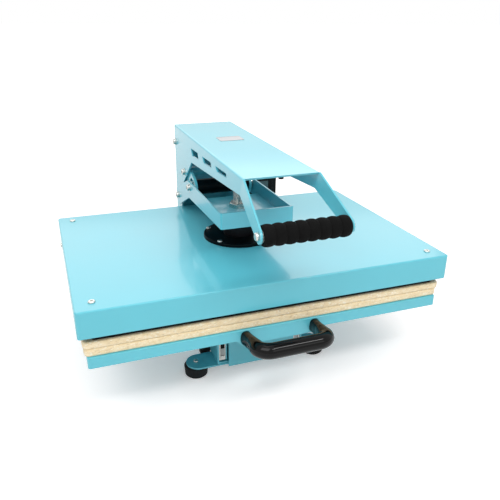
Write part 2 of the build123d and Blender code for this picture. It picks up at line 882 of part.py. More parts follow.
def lever_channel():
    """Bent sheet: a top plate, two pierced side plates and two handle arms that splay towards the grip."""
    outline = Polygon(
        at(lever_top_rear), at(lever_top_front), at(lever_inner_bend), at(lever_window_corner),
        at(lever_lobe_tip), at(lever_lobe_rear), at(lever_rear_low), align=None,
    )
    soft = [v for v in outline.vertices() if near_one(v, (lever_lobe_tip, lever_lobe_rear, lever_rear_low))]
    outline = fillet(soft, 6.0)
    body = side_plate(outline, -lever_half_width, lever_half_width)
    mean_top = up((lever_top_rear[1] + lever_top_front[1]) / 2)
    body = fillet(ridges(body, lever_half_width, mean_top), lever_bend)
    rear, front = lever_top_rear[0] + 30, lever_top_front[0] - 30
    hollow = side_plate(
        Polygon(
            (rear, up(lever_top_at(rear)) - lever_sheet), (front, up(lever_top_at(front)) - lever_sheet),
            (front, up(0)), (rear, up(0)), align=None,
        ),
        -lever_inside, lever_inside,
    )
    body = body - fillet(ridges(hollow, lever_inside, mean_top - lever_sheet), lever_bend - lever_sheet)
    for arm in both(handle_arm()):
        body = body + arm
    holes = disc(at(grip_axis), grip_bolt_dia / 2)
    holes = holes + disc(at(lever_pivot), pivot_dia / 2 + pivot_fit)
    holes = holes + disc(at(lever_link_pivot), pivot_dia / 2)
    for n in range(slot_count):
        holes = holes + slot_outline(n)
    return body - side_plate(holes, -lever_half_width - 20, lever_half_width + 20)


def handle_arm():
    """The right side plate ahead of its bend, turned outwards about the bend's inner line."""
    end, front, bend = at(grip_axis), at(lever_top_front), at(lever_inner_bend)
    outline = Polygon(
        front, tangent(front, end, grip_end_round, 1), end, tangent(bend, end, grip_end_round, -1), bend, align=None
    )
    plate = side_plate(outline + disc(end, grip_end_round), lever_inside, lever_half_width)
    return plate.rotate(Axis((lever_inside, *bend), (0, front[0] - bend[0], front[1] - bend[1])), handle_splay)


def grip_inside():
    """Half the clear width between the splayed handle arms, at the grip's axis."""
    end, front, bend = at(grip_axis), at(lever_top_front), at(lever_inner_bend)
    fold = (front[0] - bend[0], front[1] - bend[1])
    reach = abs((end[0] - bend[0]) * fold[1] - (end[1] - bend[1]) * fold[0]) / hypot(*fold)
    return lever_inside + reach * sin(radians(handle_splay))


def lean_over(dia):
    """How far a splayed arm leans in over half the width of a round piece."""
    return dia / 2 * tan(radians(handle_splay)) + 0.1


def ridges(solid, half, height):
    """The two long edges of a lever solid at a half width and about a height."""
    return [
        e for e in solid.edges()
        if e.length > 200 and abs(e.center().Z - height) < 2.5 and abs(abs(e.center().X) - half) < 0.01
    ]


def near_one(vertex, places):
    return any(hypot(vertex.X - at(p)[0], vertex.Y - at(p)[1]) < 0.01 for p in places)


def slot_outline(n):
    """A leaning opening in the lever's side between two guide lines, with small round corners."""
    rear = slot_top_line[0][0] - n * slot_pitch
    front = rear - slot_length - n * slot_growth
    rear_low = rear - slot_rear_lean
    front_low = front - slot_front_lean * (along(slot_top_line, front) - along(slot_bottom_line, front))
    shape = Polygon(
        at((rear, along(slot_top_line, rear))), at((front, along(slot_top_line, front))),
        at((front_low, along(slot_bottom_line, front_low))), at((rear_low, along(slot_bottom_line, rear_low))),
        align=None,
    )
    return fillet(shape.vertices(), slot_round)


def grip_tube():
    half = grip_inside() - lean_over(grip_tube_dia)
    bar = rod_x(-half, half, at(grip_axis), grip_tube_dia)
    return bar - rod_x(-half - 1, half + 1, at(grip_axis), grip_bolt_dia)


def foam_grip():
    """A foam sleeve with round bulges, drawn as a wavy profile and turned about the grip's axis."""
    inside = grip_inside() - lean_over(grip_bulge_dia)
    pitch = 2 * inside / grip_bulge_count
    rise = (grip_bulge_dia - grip_groove_dia) / 2
    round_of = (rise**2 + pitch**2 / 4) / (2 * rise)
    groove, crest = grip_groove_dia / 2, grip_bulge_dia / 2
    shoulder = crest - round_of + (round_of**2 - pitch**2 / 16) ** 0.5
    edges = Polyline(
        (-inside, groove), (-inside, grip_tube_dia / 2), (inside, grip_tube_dia / 2), (inside, groove)
    ).edges()
    for n in range(grip_bulge_count):
        x = inside - pitch * n
        edges += [
            ThreePointArc((x, groove), (x - pitch / 4, shoulder), (x - pitch / 2, crest)).edge(),
            ThreePointArc((x - pitch / 2, crest), (x - pitch * 3 / 4, shoulder), (x - pitch, groove)).edge(),
        ]
    sleeve = revolve(make_face(edges), Axis.X)
    y, z = at(grip_axis)
    return Pos(0, y, z) * sleeve


def grip_bolts():
    seat = grip_inside() + lever_sheet + lean_over(grip_bolt_head_dia)
    y, z = at(grip_axis)
    head = Cylinder(grip_bolt_head_dia / 2, grip_bolt_head)
    head = fillet(head.faces().sort_by(Axis.Z)[-1].edges(), grip_bolt_head * 0.45)
    head = Pos(seat + grip_bolt_head / 2, y, z) * (Rot(0, 90, 0) * head)
    return hang(both(head + rod_x(seat - 24, seat, (y, z), grip_bolt_dia)))


def lever_bumper():
    under = up(lever_top_at(lever_bumper_y)) - lever_sheet
    return rod_z(0, lever_bumper_y, under - lever_bumper_height, under - 0.05, lever_bumper_dia)


def lever_link_bolt():
    """The bolt that the links hang on, held in the lever's side plates."""
    return pivot_bolt(lever_link_pivot, lever_half_width, lever_half_width)


# Toggle links

def link_outline():
    """Rear eye on the lever's bolt; at the front a slot round the path of the arm's sleeve."""
    path = sleeve_path()
    heading = atan2(link_arm_pivot[1] - lever_link_pivot[1], link_arm_pivot[0] - lever_link_pivot[0])
    along = [p[0] * cos(heading) + p[1] * sin(heading) for p in path]
    across = [-p[0] * sin(heading) + p[1] * cos(heading) for p in path]
    middle = (max(across) + min(across)) / 2
    half_band = (max(across) - min(across)) / 2
    radius = link_sleeve_dia / 2 + half_band + link_slot_clear
    ends = (max(along) - half_band * 0.6, min(along) + half_band * 0.6)
    centres = [
        (a * cos(heading) - middle * sin(heading), a * sin(heading) + middle * cos(heading)) for a in ends
    ]
    centres = [at(p) for p in centres]
    outer = hull(
        (at(lever_link_pivot), link_rear_round), (centres[0], radius + link_rim), (centres[1], radius + link_rim)
    )
    slot = hull((centres[0], radius), (centres[1], radius))
    return outer - slot - disc(at(lever_link_pivot), pivot_dia / 2 + pivot_fit)


def link_plate():
    return side_plate(link_outline(), link_half - link_sheet, link_half)


def link_cross_tube():
    """Ties the two links together round the lever's bolt."""
    inside = link_half - link_sheet
    tube = rod_x(-inside, inside, at(lever_link_pivot), link_cross_tube_dia)
    return tube - rod_x(-inside - 1, inside + 1, at(lever_link_pivot), pivot_dia + 2 * pivot_fit)


# Arm

def arm_channel():
    """Bent sheet tray that carries the platen: floor, front wall and side walls that run back to the pivot."""
    top, low, front_top = up(arm_wall_top), up(arm_wall_bottom), up(arm_front_top)
    shoulder = (arm_wall_top - arm_wall_bottom) / 2
    step = arm_front + arm_front_step
    rear = hull(
        ((arm_shoulder_y, low + shoulder), shoulder), (at(arm_pivot), arm_boss_round)
    )
    front = Polygon(
        (arm_front, front_top), (step, front_top), (step + front_top - top, top), (arm_shoulder_y, top),
        (arm_shoulder_y, low), (arm_front, up(arm_front_bottom)), align=None,
    )
    outline = front + rear
    holes = disc(at(arm_pivot), pivot_dia / 2 + pivot_fit) + disc(at(link_arm_pivot), pivot_dia / 2)
    body = side_plate(outline, -arm_half_width, arm_half_width)
    corner = body.edges().filter_by(Axis.Z).group_by(Axis.Y)[0]
    body = fillet(corner, arm_corner_round)
    inside, start, back = arm_inside, arm_front + arm_sheet, arm_pivot[0] + 60
    floor = up(arm_floor_top)
    above = box(-inside, inside, start, back, floor, top + 20)
    above = fillet(above.edges().filter_by(Axis.Z).group_by(Axis.Y)[0], arm_corner_round - arm_sheet)
    below = box(-inside, inside, start, back, up(0) - 20, floor - arm_sheet)
    below = fillet(below.edges().filter_by(Axis.Z).group_by(Axis.Y)[0], arm_corner_round - arm_sheet)
    behind = box(-inside, inside, arm_floor_rear, back, up(0) - 20, top + 20)
    body = body - above - below - behind - side_plate(holes, -arm_half_width - 1, arm_half_width + 1)
    body = body - rod_x(0, arm_half_width - arm_sheet / 2, at((arm_hole_y, arm_hole_height)), arm_hole_dia)
    return body - rod_z(*flange_centre, floor - 10, floor + 10, spindle_dia + 4)


def link_pin_bolt():
    return pivot_bolt(link_arm_pivot, arm_half_width, arm_half_width)


def link_pin_tube():
    """The black roller tube between the links, on the arm's bolt."""
    inside = link_half - link_sheet - link_tube_end_gap
    tube = rod_x(-inside, inside, at(link_arm_pivot), link_front_tube_dia)
    return tube - rod_x(-inside - 1, inside + 1, at(link_arm_pivot), pivot_dia)


def link_pin_bushes():
    """Stepped bushes: a sleeve through the link's slot and a collar against the arm's wall."""
    start = link_half - link_sheet - link_tube_end_gap
    shoulder = link_half + 0.4
    bush = rod_x(start, shoulder, at(link_arm_pivot), link_sleeve_dia)
    bush = bush + rod_x(shoulder, arm_inside, at(link_arm_pivot), link_sleeve_dia + 8)
    bush = bush - rod_x(start - 1, arm_inside + 1, at(link_arm_pivot), pivot_dia)
    return hang(both(bush))


def spindle_boss():
    """Round plate welded under the arm's floor, with the threaded sleeve that the spindle turns in."""
    floor = up(arm_floor_top)
    under = floor - arm_sheet
    plate = rod_z(*flange_centre, under - spindle_boss_thick, under, spindle_boss_dia)
    sleeve = rod_z(*flange_centre, floor - spindle_nut_height, under, spindle_nut_dia)
    neck = rod_z(*flange_centre, under, floor, spindle_dia + 4)
    bore = rod_z(*flange_centre, floor - spindle_nut_height - 1, floor + 20, spindle_dia + 2 * spindle_fit)
    return plate + sleeve + neck - bore


def jam_nut():
    """Locks the sleeve from above, on the arm's floor."""
    floor = up(arm_floor_top)
    nut = extrude(RegularPolygon(jam_nut_width / 2, 6, major_radius=False), amount=jam_nut_height)
    nut = chamfer(nut.faces().sort_by(Axis.Z)[-1].edges(), 1.0)
    nut = Pos(flange_centre[0], flange_centre[1], floor) * nut
    return nut - rod_z(*flange_centre, floor - 1, floor + 20, spindle_dia + 2 * spindle_fit)


# Controller

def controller_housing():
    back = controller_front + controller_depth
    shell = box(
        controller_left, controller_right, controller_front + bezel_depth, back, up(controller_low),
        up(controller_high),
    )
    shell = fillet(shell.edges().filter_by(Axis.Y), controller_corner)
    shell = fillet(shell.faces().sort_by(Axis.Y)[-1].edges(), 1.5)
    middle = up((controller_low + controller_high) / 2)
    width, height = rocker_size
    shell = shell - box(
        rocker_x - width / 2 - 0.5, rocker_x + width / 2 + 0.5, back - 9, back + 1,
        middle - height / 2 - 0.5, middle + height / 2 + 0.5,
    )
    width, height = inlet_size
    shell = shell - box(
        inlet_x - width / 2 + 2, inlet_x + width / 2 - 2, back - 16, back + 1,
        middle - height / 2 + 2, middle + height / 2 - 2,
    )
    return shell


def controller_bezel():
    back = controller_front + bezel_depth
    frame = box(
        controller_left - 1, controller_right + 1, controller_front, back, up(controller_low) - 1,
        up(controller_high) + 1,
    )
    frame = fillet(frame.edges().filter_by(Axis.Y), controller_corner + 1)
    frame = fillet(frame.faces().sort_by(Axis.Y)[0].edges(), 1.2)
    frame = frame - box(
        display_left, display_right, controller_front - 1, controller_front + display_recess + 2,
        up(display_low), up(display_high),
    )
    for height in key_heights:
        frame = frame - rod_y(key_x, controller_front - 1, back - 1, up(height), key_dia + 2 * key_fit)
    return frame


def display_window():
    return box(
        display_left, display_right, controller_front + display_recess, controller_front + display_recess + 2,
        up(display_low), up(display_high),
    )


def key(height):
    front = controller_front - key_stand
    back = controller_front + bezel_depth - 1 - key_travel - key_fit
    cap = rod_y(key_x, front, back, up(height), key_dia)
    return fillet(cap.faces().sort_by(Axis.Y)[0].edges(), 0.5)


def power_rocker():
    """A rocker that tilts about its middle; its face is a shallow V."""
    back = controller_front + controller_depth
    middle = up((controller_low + controller_high) / 2)
    width, height = rocker_size
    rise = height / 2 * sin(radians(rocker_tilt))
    profile = Polygon(
        (back - 5, middle - height / 2 + 1.2), (back - 5, middle + height / 2 - 1.2),
        (back + 0.6, middle + height / 2 - 1.2), (back + 1.2, middle), (back + 0.6 + rise, middle - height / 2 + 1.2),
        align=None,
    )
    return side_plate(profile, rocker_x - width / 2, rocker_x + width / 2)


def power_inlet():
    """Mains inlet: a flanged shell with three flat pins."""
    back = controller_front + controller_depth
    middle = up((controller_low + controller_high) / 2)
    width, height = inlet_size
    flange = box(
        inlet_x - width / 2, inlet_x + width / 2, back, back + 2.0, middle - height / 2, middle + height / 2
    )
    flange = fillet(flange.edges().filter_by(Axis.Y), 2.5)
    shell = box(
        inlet_x - width / 2 + 2, inlet_x + width / 2 - 2, back - 16, back, middle - height / 2 + 2,
        middle + height / 2 - 2,
    )
    well = box(
        inlet_x - width / 2 + 4, inlet_x + width / 2 - 4, back - 14, back + 3, middle - height / 2 + 4.5,
        middle + height / 2 - 4.5,
    )
    body = flange + shell - well
    for x, z in ((-7.0, -2.0), (7.0, -2.0), (0.0, 2.0)):
        body = body + box(
            inlet_x + x - 1, inlet_x + x + 1, back - 14.5, back - 2, middle + z - 2, middle + z + 2
        )
    return body


def fuse_cap():
    back = controller_front + controller_depth
    middle = up((controller_low + controller_high) / 2)
    cap = rod_y(fuse_x, back, back + 4.0, middle, fuse_dia)
    cap = fillet(cap.faces().sort_by(Axis.Y)[-1].edges(), 1.0)
    return cap - box(fuse_x - 3.5, fuse_x + 3.5, back + 2.8, back + 5, middle - 0.6, middle + 0.6)


def controller_bracket():
    """An angle from the post's flange to the housing's left side, behind the arm's boss."""
    back = controller_front + controller_depth - 1
    low = up(controller_low) + 5
    high = up(controller_high) - 5
    on_post = box(
        post_half_width, post_half_width + bracket_sheet, back - bracket_width, back, low, high
    )
    across = box(post_half_width, controller_left, back - bracket_sheet, back, low, high)
    on_box = box(controller_left - bracket_sheet, controller_left, back - bracket_width, back, low, high)
    return on_post + across + on_box


PIECES = {
    "base_channel": base_channel(),
    "foot_bars": foot_bars(),
    "rubber_feet": rubber_feet(),
    "foot_screws": foot_screws(),
    "side_bumper": side_bumper(),
    "post_channel": post_channel(),
    "post_bolts": post_bolts(),
    "pivot_spacers": pivot_spacers(),
    "lever_pivot_bolt": pivot_bolt(lever_pivot, lever_half_width, lever_half_width),
    "arm_pivot_bolt": pivot_bolt(arm_pivot, arm_half_width, arm_half_width),
    "slide_outers": slide_outers(),
    "slide_middles": slide_middles(),
    "slide_inners": slide_inners(),
    "slide_end_caps": slide_end_caps(),
    "slide_end_stops": slide_end_stops(),
    "carriage": carriage(),
    "carriage_bolts": carriage_bolts(),
    "lower_tray": lower_tray(),
    "tray_stiffeners": tray_stiffeners(),
    "lower_felt": felt_layer(tray_top, lower_felt_thick, felt_step),
    "upper_felt": felt_layer(tray_top + lower_felt_thick, upper_felt_thick, 0.0),
    "pull_handle": pull_handle(),
    "handle_screws": handle_screws(),
    "platen_cover": platen_cover(),
    "heating_plate": heating_plate(),
    "heater_element": heater_element(),
    "insulation_slab": insulation_slab(),
    "centre_boss": centre_boss(),
    "corner_posts": corner_posts(),
    "cover_screws": cover_screws(),
    "platen_flange": platen_flange(),
    "flange_screws": flange_screws(),
    "swivel_cup": swivel_cup(),
    "pressure_spindle": pressure_spindle(),
    "lever_channel": lever_channel(),
    "grip_tube": grip_tube(),
    "foam_grip": foam_grip(),
    "grip_bolts": grip_bolts(),
    "lever_bumper": lever_bumper(),
    "lever_link_bolt": lever_link_bolt(),
    "link_left": mirror(link_plate(), about=Plane.YZ),
    "link_right": link_plate(),
    "link_cross_tube": link_cross_tube(),
    "arm_channel": arm_channel(),
    "link_pin_bolt": link_pin_bolt(),
    "link_pin_tube": link_pin_tube(),
    "link_pin_bushes": link_pin_bushes(),
    "spindle_boss": spindle_boss(),
    "jam_nut": jam_nut(),
    "controller_bracket": controller_bracket(),
    "controller_housing": controller_housing(),
    "controller_bezel": controller_bezel(),
    "display_window": display_window(),
    "key_set": key(key_heights[0]),
    "key_up": key(key_heights[1]),
    "key_down": key(key_heights[2]),
    "power_rocker": power_rocker(),
    "power_inlet": power_inlet(),
    "fuse_cap": fuse_cap(),
}

for name, piece in PIECES.items():
    export_step(piece, f"parts/{name}.step")
print("arm opens", round(arm_swing, 4), "link turns", round(link_swing, 4), "cover top", round(cover_top, 2))
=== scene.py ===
# %% [markdown]
# A flat heat press, closed: a wide heated platen lies on a felt pad, a pierced lever with a foam grip
# holds it down through two links, and a table on drawer slides carries the pad.
#
# The solids come from the CAD model. This file paints them, and makes again the four kinds of piece
# whose charm is in soft or round detail: the felt sheets, the foam grip, the pull handle and the
# spindle's thread. It adds one small bare plate on the lever. Lengths are in metres.

# %% Load the frame
import json

import bpy
import numpy as np
from mathutils import Matrix, Vector

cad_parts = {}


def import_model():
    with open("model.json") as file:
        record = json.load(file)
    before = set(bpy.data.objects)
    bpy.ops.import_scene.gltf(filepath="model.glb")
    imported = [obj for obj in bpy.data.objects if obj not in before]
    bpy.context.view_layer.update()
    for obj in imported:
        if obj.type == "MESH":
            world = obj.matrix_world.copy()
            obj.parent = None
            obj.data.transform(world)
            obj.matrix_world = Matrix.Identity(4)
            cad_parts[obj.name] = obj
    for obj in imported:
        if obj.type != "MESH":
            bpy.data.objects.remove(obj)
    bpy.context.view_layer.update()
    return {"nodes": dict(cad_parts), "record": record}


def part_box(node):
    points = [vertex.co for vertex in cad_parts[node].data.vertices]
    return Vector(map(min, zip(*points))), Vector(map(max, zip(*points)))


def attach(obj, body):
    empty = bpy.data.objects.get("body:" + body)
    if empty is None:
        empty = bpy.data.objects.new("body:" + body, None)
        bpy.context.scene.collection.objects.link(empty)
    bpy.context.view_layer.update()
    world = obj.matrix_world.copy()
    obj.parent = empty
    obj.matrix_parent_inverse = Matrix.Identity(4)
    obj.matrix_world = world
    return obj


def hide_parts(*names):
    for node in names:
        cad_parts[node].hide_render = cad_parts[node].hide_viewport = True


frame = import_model()
nodes = frame["nodes"]


# %% [markdown]
# The camera stands a little to the left of the press and well above it, looking down at the closed
# lever. It could be placed by eye. But an error of one degree moves an edge by several pixels, so its
# place and its turn were worked out from the corners of the cover, a box of known shape.

# %% Camera
CAMERA_PLACE = (-0.33215, -0.94463, 0.61263)
CAMERA_AZIMUTH, CAMERA_ELEVATION, CAMERA_ROLL = -0.35887, 0.39869, 0.01102
CAMERA_LENS = 40.485
SENSOR_WIDTH = 36.0


def add_to_scene(name, data):
    """An object that holds the data, linked into the scene at the origin."""
    thing = bpy.data.objects.new(name, data)
    bpy.context.scene.collection.objects.link(thing)
    return thing


def camera_at(place, azimuth, elevation, roll, lens):
    """Axes of a camera: 'back' from azimuth and elevation, 'right' level, 'up' across both, then rolled."""
    ca, sa, ce, se = np.cos(azimuth), np.sin(azimuth), np.cos(elevation), np.sin(elevation)
    back = np.array([sa * ce, -ca * ce, se])
    right = np.array([ca, sa, 0.0])
    up = np.cross(back, right)
    cr, sr = np.cos(roll), np.sin(roll)
    columns = np.column_stack([cr * right + sr * up, -sr * right + cr * up, back])
    data = bpy.data.cameras.new("camera")
    data.lens = lens
    data.sensor_width = SENSOR_WIDTH
    camera = add_to_scene("camera", data)
    turn = Matrix(columns.tolist()).to_4x4()
    camera.matrix_world = Matrix.Translation(Vector(place)) @ turn
    bpy.context.scene.camera = camera


camera_at(CAMERA_PLACE, CAMERA_AZIMUTH, CAMERA_ELEVATION, CAMERA_ROLL, CAMERA_LENS)


# %% [markdown]
# Shader sums read better as sums. A small class wraps a socket and gives it plus, minus and times, so
# a line of Python becomes a chain of Math nodes. Every other node comes from one method. The nodes
# could be placed one by one in the editor, but then the fourteen finishes below couldn't share them.

# %% Shader helpers
class Sock:
    """One output socket of a material, which can be used in a sum."""

    def __init__(self, paint, socket):
        self.paint = paint
        self.socket = socket

    def maths(self, operation, first, second):
        """The socket of a Math node with two values."""
        return self.paint.node("ShaderNodeMath", {"operation": operation}, {0: first, 1: second})

    def __add__(self, other):
        return self.maths("ADD", self, other)

    def __radd__(self, other):
        return self.maths("ADD", other, self)

    def __sub__(self, other):
        return self.maths("SUBTRACT", self, other)

    def __rsub__(self, other):
        return self.maths("SUBTRACT", other, self)

    def __mul__(self, other):
        return self.maths("MULTIPLY", self, other)

    def above(self, edge):
        """1 where the value is greater than the edge, and 0 elsewhere."""
        return self.maths("GREATER_THAN", self, edge)


class Paint:
    """A material under construction, with a Principled shader that is filled in at the end."""

    def __init__(self, name):
        self.material = bpy.data.materials.new(name)
        self.material.use_nodes = True
        self.tree = self.material.node_tree
        self.shader = self.tree.nodes["Principled BSDF"]
        self.place = self.node("ShaderNodeTexCoord", out="Object")

    def node(self, kind, settings=None, inputs=None, out=0):
        """A node of a type, with its settings, then the values or links of its sockets."""
        made = self.tree.nodes.new(kind)
        for key, value in (settings or {}).items():
            if key == "stops":
                self.stops(made.color_ramp, value)
            else:
                setattr(made, key, value)
        self.fill(made, inputs or {})
        return Sock(self, made.outputs[out])

    def stops(self, ramp, stops):
        """Fills a colour ramp with (place, colour) pairs."""
        while len(ramp.elements) < len(stops):
            ramp.elements.new(0.5)
        for element, (at, colour) in zip(ramp.elements, stops):
            element.position = at
            element.color = (*colour, 1.0)

    def fill(self, made, inputs):
        """Links a socket, or writes a number or a colour, into each named input of a node."""
        for key, value in inputs.items():
            if isinstance(value, Sock):
                self.tree.links.new(value.socket, made.inputs[key])
            elif isinstance(value, (tuple, list)) and len(made.inputs[key].default_value) == 4:
                made.inputs[key].default_value = (*value[:3], 1.0)
            else:
                made.inputs[key].default_value = value

    def stretched(self, scale):
        """Object coordinates, scaled by a different number along X, Y and Z."""
        return self.node("ShaderNodeMapping", {}, {"Vector": self.place, "Scale": scale}, "Vector")

    def noise(self, scale, detail=3.0, rough=0.55, where=None):
        """Cloudy noise between 0 and 1, with about scale waves in a metre."""
        inputs = {"Vector": where or self.place, "Scale": scale, "Detail": detail, "Roughness": rough}
        return self.node("ShaderNodeTexNoise", {}, inputs, "Fac")

    def cells(self, scale, where=None, out="Distance"):
        """Random cells: the distance to a cell's middle, or the cell's own random colour."""
        inputs = {"Vector": where or self.place, "Scale": scale}
        return self.node("ShaderNodeTexVoronoi", {}, inputs, out)

    def ramp(self, value, *stops):
        """A colour from a value, by (place, colour) pairs."""
        return self.node("ShaderNodeValToRGB", {"stops": stops}, {"Fac": value}, "Color")

    def mix(self, share, first, second):
        """A colour between two colours."""
        return self.node("ShaderNodeMix", {"data_type": "RGBA"}, {0: share, 6: first, 7: second}, 2)

    def bump(self, height, depth, under=None):
        """A normal from a height between 0 and 1, depth metres deep, over another normal if given."""
        inputs = {"Height": height, "Distance": depth, "Strength": 1.0}
        if under:
            inputs["Normal"] = under
        return self.node("ShaderNodeBump", {}, inputs, "Normal")

    def soft_edge(self, radius):
        """A normal that rounds sharp edges over, as bent or coated metal does."""
        return self.node("ShaderNodeBevel", {"samples": 6}, {"Radius": radius}, "Normal")

    def done(self, **values):
        """Fills the shader by socket names in lower case, and gives the finished material."""
        for key, value in values.items():
            self.fill(self.shader, {key.replace("_", " ").title().replace("Ior", "IOR"): value})
        return self.material


def linear(r, g, b):
    """A colour as a screen shows it, 0 to 255, turned into the linear light that shaders want.

    Dark values are divided by 12.92. The others follow a curve with the power 2.4.
    """
    c = np.array([r, g, b]) / 255.0
    return tuple(np.where(c <= 0.04045, c / 12.92, ((c + 0.055) / 1.055) ** 2.4).tolist())


def shade(factor, colour):
    """A colour times a number, held at 1."""
    return tuple(min(1.0, factor * c) for c in colour)


# %% [markdown]
# Powder coat is sprayed as dry grains that melt into a skin. It keeps a faint orange peel, with
# waves a millimetre or two across, and it thins at sharp edges, which look a little rounder.
# One glossy colour would look like plastic. So a clear coat lies over a satin ground, and a Bevel
# node rounds the edges for the light alone, while the mesh stays as the CAD model gave it.

# %% Powder coats
# How round an edge looks under each kind of finish.
EDGE_OF_COAT, EDGE_OF_METAL, EDGE_OF_PLASTIC = 0.0008, 0.0005, 0.0006


def powder_coat(name, colour, rough, peel, gloss=1.0):
    """Peel is the depth of the orange peel, and gloss scales the shine of skin and ground alike."""
    paint = Paint(name)
    waves = paint.noise(620.0, 2.0, 0.5)
    grain = paint.noise(2600.0, 2.0, 0.6)
    haze = paint.noise(9.0, 3.0)
    tone = paint.mix(haze, shade(0.965, colour), shade(1.035, colour))
    normal = paint.bump(waves * 0.75 + grain * 0.25, peel, paint.soft_edge(EDGE_OF_COAT))
    return paint.done(
        base_color=tone, roughness=rough + (haze - 0.5) * 0.08, normal=normal,
        specular_ior_level=0.3 * gloss, coat_weight=0.55 * gloss, coat_roughness=0.10, coat_ior=1.5,
    )


turquoise = powder_coat("turquoise_coat", linear(96, 192, 208), 0.30, 0.00007)
black_coat = powder_coat("black_coat", linear(4, 13, 16), 0.36, 0.00010, 0.12)


# %% [markdown]
# Fasteners and rails are zinc plated: a pale metal with a faint cloudiness. Drawn aluminium shows
# fine lines along the way it was worked. Pictures of metal could be wrapped round each piece. Noise
# on Object coordinates needs no unwrapping, has no seams and keeps its scale on large and small
# pieces alike. For the lines the noise is squeezed across one axis until its blobs become hairs.

# %% Metals
def metal(name, colour, rough, cloud, lines=None, depth=0.0):
    """Cloud is the scale of the cloudiness. Lines are the scales of the work marks on X, Y and Z."""
    paint = Paint(name)
    clouds = paint.noise(cloud, 4.0, 0.6)
    tone = paint.mix(clouds, shade(0.86, colour), colour)
    normal = paint.soft_edge(EDGE_OF_METAL)
    if lines:
        normal = paint.bump(paint.noise(1.0, 3.0, 0.6, paint.stretched(lines)), depth, normal)
    return paint.done(
        base_color=tone, roughness=rough + (clouds - 0.5) * 0.16, metallic=1.0, normal=normal,
    )


zinc = metal("zinc_steel", linear(214, 214, 209), 0.27, 160.0)
dark_steel = metal("dark_steel", linear(42, 43, 46), 0.40, 120.0)
aluminium = metal("bare_aluminium", linear(180, 181, 183), 0.36, 60.0, (40.0, 2200.0, 2200.0), 0.00003)
# The coated aluminium is painted near black. That is partly a dark coating and partly painted shade: its
# edge shows as the shadowed gap between the cover and the felt.
coated_aluminium = metal("coated_aluminium", linear(22, 23, 24), 0.5, 200.0)


# %% [markdown]
# Moulded plastics differ mostly in gloss: the pull handle is polished, the controller has a fine
# sparked grain, and rubber is duller still. So one function makes them all, from a roughness, the
# size and depth of the pores, and the strength of the shine.

# %% Plastics and rubber
def plastic(name, colour, rough, grain, depth, shine=0.5):
    """Grain and depth are the scale and depth of the pores, and shine is the specular level."""
    paint = Paint(name)
    pores = paint.cells(grain)
    haze = paint.noise(24.0, 3.0)
    tone = paint.mix(haze, shade(0.9, colour), shade(1.12, colour))
    normal = paint.bump(pores, depth, paint.soft_edge(EDGE_OF_PLASTIC))
    return paint.done(
        base_color=tone, roughness=rough + (haze - 0.5) * 0.1, normal=normal, specular_ior_level=shine,
    )


gloss_black = plastic("black_gloss", linear(3, 3, 3), 0.09, 300.0, 0.000004, 0.2)
matte_black = plastic("black_plastic", linear(16, 17, 18), 0.5, 1500.0, 0.00006, 0.12)
grey_plastic = plastic("grey_plastic", linear(170, 172, 170), 0.45, 1500.0, 0.00003)
rubber = plastic("black_rubber", linear(22, 23, 24), 0.72, 900.0, 0.00010, 0.2)


# %% [markdown]
# The controller's display is a liquid crystal window behind a clear panel. It could be a surface that
# glows, but the machine is shown switched off, so it stays dark teal and blank. The panel is a clear
# coat over it, which catches the light sharply.

# %% Display window
def display():
    """A liquid crystal window that is off: dark teal in soft clouds, under a fine dot raster."""
    paint = Paint("lcd_window")
    glow = paint.noise(18.0, 1.0)
    dots = paint.cells(1700.0)
    teal = paint.mix(glow, linear(12, 40, 44), linear(26, 70, 74))
    tone = paint.mix(dots, shade(0.8, linear(20, 54, 58)), teal)
    return paint.done(base_color=tone, roughness=0.12, coat_weight=0.8, coat_roughness=0.03)


lcd = display()


# %% [markdown]
# The pad is needle felt made from recycled fibre: a warm oatmeal ground full of short flecks, some
# cream and some brown. Its cut edge shows layers, so the pattern is squeezed along Z. Hair strands
# would be truer from very near, but there would be millions. Noise and random cells give the same
# mottled look from a metre away. Closed-cell foam and glass wool are made in the same way.

# %% Felt and foam
def felt_paint():
    """An oatmeal ramp over two noises. Random cells pick out a tenth as dark flecks, a tenth as pale."""
    paint = Paint("beige_felt")
    flat = paint.stretched((1.0, 1.0, 2.2))
    big = paint.noise(70.0, 4.0, 0.6, flat)
    small = paint.noise(430.0, 4.0, 0.7, flat)
    flecks = paint.cells(330.0, flat, "Color")
    tuft = paint.cells(240.0, flat)
    ground = paint.ramp(
        big * 0.55 + small * 0.45,
        (0.26, linear(212, 182, 136)), (0.42, linear(236, 213, 168)),
        (0.58, linear(247, 229, 193)), (0.75, linear(252, 240, 214)),
    )
    chance = paint.node("ShaderNodeSeparateColor", {}, {"Color": flecks}, "Red")
    dark = chance.above(0.9) * (1.0 - tuft * 1.2)
    pale = (0.1 - chance).above(0.0)
    tone = paint.mix(dark * 0.4, ground, linear(146, 112, 74))
    tone = paint.mix(pale * 0.5, tone, linear(255, 250, 236))
    fibre = paint.noise(1300.0, 3.0, 0.7, flat)
    normal = paint.bump(small * 0.5 + fibre * 0.3 + tuft * 0.2, 0.0007)
    return paint.done(
        base_color=tone, roughness=0.95, normal=normal, sheen_weight=0.35, sheen_roughness=0.6,
    )


def foam_paint():
    """Closed-cell foam: matt black with cells about half a millimetre across."""
    paint = Paint("black_foam")
    cells = paint.cells(1500.0)
    wide = paint.noise(90.0, 3.0)
    tone = paint.mix(wide, linear(8, 8, 8), linear(17, 17, 17))
    normal = paint.bump(cells * 0.6 + wide * 0.4, 0.00035)
    return paint.done(base_color=tone, roughness=0.8, normal=normal, specular_ior_level=0.08)


def wool_paint():
    """Glass wool: yellow strands that lie along X."""
    paint = Paint("glass_wool")
    strands = paint.noise(1.0, 4.0, 0.7, paint.stretched((90.0, 260.0, 900.0)))
    tone = paint.ramp(strands, (0.35, linear(196, 176, 112)), (0.65, linear(238, 226, 172)))
    return paint.done(base_color=tone, roughness=0.95, normal=paint.bump(strands, 0.002))


